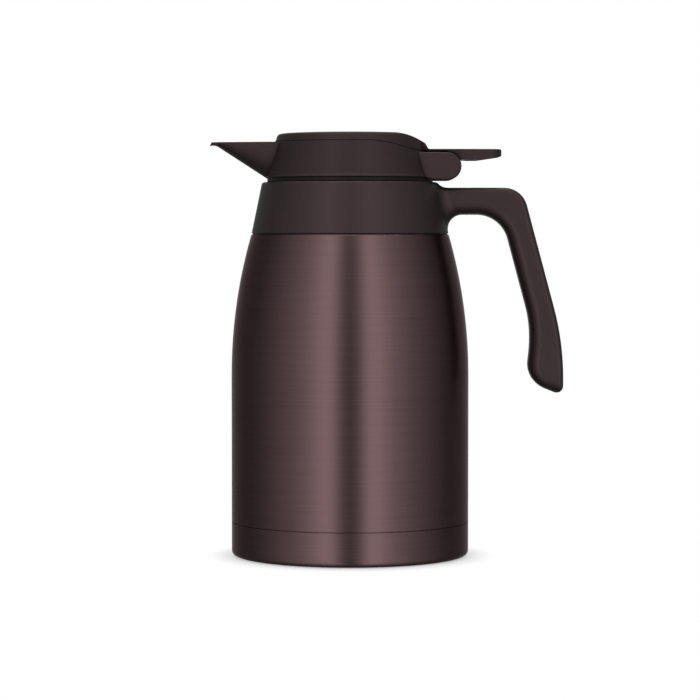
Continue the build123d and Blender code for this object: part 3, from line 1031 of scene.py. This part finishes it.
@dataclass
class Stopper:
    """The insulated stopper below the pouring head."""

    plastic: bpy.types.Material
    foam: bpy.types.Material
    silicone: bpy.types.Material

    def dress(self) -> None:
        """Gives the stopper's solids their finishes and cuts its thread."""
        thread = stopper_thread(ThreadSide.PLUG)
        plug = thread.cut("stopper_body", "threaded_stopper", Body.HEAD, "inner_plastic")
        coat(plug, self.plastic)
        dress("stopper_base", self.plastic)
        dress("stopper_foam", self.foam)
        dress("stopper_seal", self.silicone)


@dataclass
class FlipLid:
    """The flip lid: cover with thumb lever, inner plate, valve pad and its clip."""

    plastic: bpy.types.Material
    inner_plastic: bpy.types.Material
    silicone: bpy.types.Material

    def dress(self) -> None:
        """Gives the lid's solids their finishes."""
        dress("flip_cover", self.plastic)
        dress("lid_plate", self.inner_plastic)
        dress("pad_clip", self.inner_plastic)
        dress("valve_pad", self.silicone)


def height_share(
    tree: bpy.types.NodeTree, height: bpy.types.NodeSocket, low: float, high: float
) -> bpy.types.NodeSocket:
    """Tells how far a direction has risen from one height to another.

    Args:
        tree: The world's node tree.
        height: The unit direction's height.
        low: The height at which the share is 0.
        high: The height at which it is 1.

    Returns:
        The share, which changes smoothly.
    """
    return add_node(
        tree,
        "ShaderNodeMapRange",
        {"Value": height, 1: low, 2: high, 3: 0.0, 4: 1.0},
        interpolation_type="SMOOTHSTEP",
    ).outputs["Result"]


def seen_directly(tree: bpy.types.NodeTree) -> bpy.types.NodeSocket:
    """Tells the rays that see the background itself, straight or through a clear piece.

    Args:
        tree: The node tree of the world or of a material.

    Returns:
        1 for such a ray, else 0.
    """
    rays = add_node(tree, "ShaderNodeLightPath").outputs
    return add_node(
        tree,
        "ShaderNodeMath",
        {0: rays["Is Camera Ray"], 1: rays["Is Transmission Ray"]},
        operation="MAXIMUM",
    ).outputs[0]


@dataclass
class Studio:
    """A pale floor, soft light from all round and the camera."""

    camera_place: tuple[float, float, float] = (0.0, -1.54626, 0.182433)
    camera_tilt_deg: float = -2.414
    lens_mm: float = 139.62
    sensor_mm: float = 36.0
    # How far the camera sees.
    sight: float = 50.0
    # The floor reaches this far from the axis to each side.
    floor_reach: float = 3.0
    # The foot stands this little above the floor, so that their faces don't coincide.
    floor_drop_mm: float = 0.05
    floor_colour: str = "#F4F4F4"
    floor_roughness: float = 0.9
    # The floor shades into the white background between these distances from the axis,
    # from this share of white.
    fade_from: float = 0.066
    fade_to: float = 0.084
    fade_start_share: float = 0.5
    overhead_watts: float = 6.0
    overhead_size: float = 1.2
    overhead_place: tuple[float, float, float] = (0.0, -0.15, 1.5)
    # Light level from above and below, and the heights of a unit direction between
    # which the light round the carafe turns into it.
    overhead_level: float = 0.8
    overhead_heights: tuple[float, float] = (0.55, 0.9)
    low_level: float = 0.12
    low_heights: tuple[float, float] = (-0.95, -0.4)
    # Light level round the carafe by angle from the camera's side, in degrees:
    # a narrow dark gap in front, a softbox on each side of it, then a slow fall.
    levels: tuple[tuple[float, float], ...] = (
        (0, 0.18),
        (7, 0.3),
        (19, 2.55),
        (25, 2.5),
        (33, 1.78),
        (45, 1.21),
        (60, 0.82),
        (75, 0.57),
        (90, 0.37),
        (108, 0.19),
        (122, 0.17),
        (135, 0.18),
        (155, 0.24),
        (165, 0.35),
        (173, 1.0),
        (180, 1.2),
    )

    def build(self) -> None:
        """Builds the stage, the light and the camera."""
        self.camera()
        self.floor()
        self.surroundings()
        self.overhead()

    def camera(self) -> None:
        """Adds the camera and makes it the scene's own."""
        data = bpy.data.cameras.new("camera")
        data.lens = self.lens_mm
        data.sensor_width = self.sensor_mm
        data.clip_end = self.sight
        camera = bpy.data.objects.new("camera", data)
        camera.location = self.camera_place
        camera.rotation_euler = (math.radians(90 + self.camera_tilt_deg), 0.0, 0.0)
        bpy.context.scene.collection.objects.link(camera)
        bpy.context.scene.camera = camera

    def floor(self) -> None:
        """Adds the floor, which fades into the white background away from the carafe."""
        reach = self.floor_reach
        mesh = bpy.data.meshes.new("floor")
        low = -self.floor_drop_mm * MM
        corners = [(-reach, -reach), (reach, -reach), (reach, reach), (-reach, reach)]
        mesh.from_pydata([(x, y, low) for x, y in corners], [], [(0, 1, 2, 3)])
        mesh.materials.append(self.floor_paint())
        floor = bpy.data.objects.new("floor", mesh)
        bpy.context.scene.collection.objects.link(floor)
        # The carafe mirrors the dim lower part of the surroundings in place of the floor.
        floor.visible_glossy = False
        floor.visible_diffuse = False

    def floor_paint(self) -> bpy.types.Material:
        """Makes the floor's matte white paint, with its fade.

        Returns:
            The paint, which is clear from below.
        """
        material, tree = new_surface("pale floor")
        colour = linear_colour(self.floor_colour)
        paint = add_node(
            tree,
            "ShaderNodeBsdfPrincipled",
            {"Base Color": colour, "Roughness": self.floor_roughness},
        ).outputs["BSDF"]
        white = add_node(tree, "ShaderNodeEmission", {"Color": (1, 1, 1, 1)}).outputs[0]
        place = add_node(tree, "ShaderNodeTexCoord").outputs["Object"]
        distance = add_node(
            tree, "ShaderNodeVectorMath", {0: place}, operation="LENGTH"
        ).outputs["Value"]
        fade = add_node(
            tree,
            "ShaderNodeMapRange",
            {
                "Value": distance,
                1: self.fade_from,
                2: self.fade_to,
                3: self.fade_start_share,
                4: 1.0,
            },
            interpolation_type="SMOOTHSTEP",
        ).outputs["Result"]
        seen = seen_directly(tree)
        share = add_node(
            tree, "ShaderNodeMath", {0: fade, 1: seen}, operation="MULTIPLY"
        ).outputs[0]
        top = add_node(tree, "ShaderNodeMixShader", {0: share, 1: paint, 2: white}).outputs[0]
        # The floor is clear from below, so that the foot can be seen through it.
        clear = add_node(tree, "ShaderNodeBsdfTransparent").outputs[0]
        below = add_node(tree, "ShaderNodeNewGeometry").outputs["Backfacing"]
        both = add_node(tree, "ShaderNodeMixShader", {0: below, 1: top, 2: clear}).outputs[0]
        close_surface(tree, both)
        return material

    def surroundings(self) -> None:
        """Lights the carafe from all round, and gives a white background.

        What lies behind the carafe, or shows through a clear piece, is plain white.
        Glossy rays see that white as the softboxes and flags cut it up: a metal that
        mirrored it whole would lose the upright bands that make it look satin.
        """
        world = bpy.data.worlds.new("studio")
        world.use_nodes = True
        tree = world.node_tree
        tree.nodes.clear()
        toward = add_node(tree, "ShaderNodeTexCoord").outputs["Generated"]
        parts = add_node(tree, "ShaderNodeSeparateXYZ", {0: toward}).outputs
        level = self.level_round_axis(tree, parts["X"], parts["Y"])
        above = height_share(tree, parts["Z"], *self.overhead_heights)
        level = add_node(
            tree,
            "ShaderNodeMix",
            {0: above, 2: level, 3: self.overhead_level},
            data_type="FLOAT",
        ).outputs[0]
        over_low = height_share(tree, parts["Z"], *self.low_heights)
        level = add_node(
            tree,
            "ShaderNodeMix",
            {0: over_low, 2: self.low_level, 3: level},
            data_type="FLOAT",
        ).outputs[0]
        strength = add_node(
            tree,
            "ShaderNodeMix",
            {0: seen_directly(tree), 2: level, 3: 1.0},
            data_type="FLOAT",
        ).outputs[0]
        background = add_node(
            tree, "ShaderNodeBackground", {"Color": (1, 1, 1, 1), "Strength": strength}
        ).outputs[0]
        add_node(tree, "ShaderNodeOutputWorld", {"Surface": background})
        bpy.context.scene.world = world

    def level_round_axis(
        self,
        tree: bpy.types.NodeTree,
        x: bpy.types.NodeSocket,
        y: bpy.types.NodeSocket,
    ) -> bpy.types.NodeSocket:
        """Gives the light level in a direction round the carafe.

        Args:
            tree: The world's node tree.
            x: The direction's part to the right of the carafe.
            y: Its part away from the camera's side.

        Returns:
            The level, the same to the left and to the right.
        """
        side = add_node(tree, "ShaderNodeMath", {0: x}, operation="ABSOLUTE").outputs[0]
        front = add_node(tree, "ShaderNodeMath", {0: y, 1: -1.0}, operation="MULTIPLY").outputs[0]
        angle = add_node(
            tree, "ShaderNodeMath", {0: side, 1: front}, operation="ARCTAN2"
        ).outputs[0]
        turn = add_node(
            tree, "ShaderNodeMath", {0: angle, 1: math.pi}, operation="DIVIDE"
        ).outputs[0]
        ramp = add_node(tree, "ShaderNodeValToRGB", {"Fac": turn})
        top = max(level for _, level in self.levels)
        stops = ramp.color_ramp.elements
        while len(stops) > 1:
            stops.remove(stops[0])
        for i, (degrees, level) in enumerate(self.levels):
            stop = stops[0] if i == 0 else stops.new(degrees / 180)
            stop.position = degrees / 180
            stop.color = (level / top, level / top, level / top, 1.0)
        ramp.color_ramp.interpolation = "LINEAR"
        return add_node(
            tree, "ShaderNodeMath", {0: ramp.outputs["Color"], 1: top}, operation="MULTIPLY"
        ).outputs[0]

    def overhead(self) -> None:
        """Adds one large soft lamp above the carafe."""
        lamp = bpy.data.lights.new("overhead softbox", "AREA")
        lamp.shape = "SQUARE"
        lamp.size = self.overhead_size
        lamp.energy = self.overhead_watts
        thing = bpy.data.objects.new("overhead softbox", lamp)
        thing.location = self.overhead_place
        bpy.context.scene.collection.objects.link(thing)


def main() -> None:
    """Builds the stage and dresses the carafe."""
    logging.basicConfig(level=logging.INFO, format="%(message)s")
    bpy.context.scene.view_settings.view_transform = "Standard"
    Studio().build()
    head_plastic = HEAD_PLASTIC.material()
    inner_plastic = INNER_PLASTIC.material()
    silicone = SILICONE.material()
    Vessel(
        lacquer=LacqueredSteel().material(),
        steel=BareSteel().material(),
        copper=RolledCopper().material(),
        bead=FusedBead().material(),
        silicone=silicone,
        foot=FOOT_RUBBER.material(),
    ).dress()
    Collar(plastic=COLLAR_PLASTIC.material(), insert_plastic=inner_plastic).dress()
    PourHead(plastic=head_plastic, steel=GroundSteel().material()).dress()
    Stopper(plastic=inner_plastic, foam=BlownFoam().material(), silicone=silicone).dress()
    FlipLid(plastic=head_plastic, inner_plastic=inner_plastic, silicone=silicone).dress()


if __name__ == "__main__":
    main()
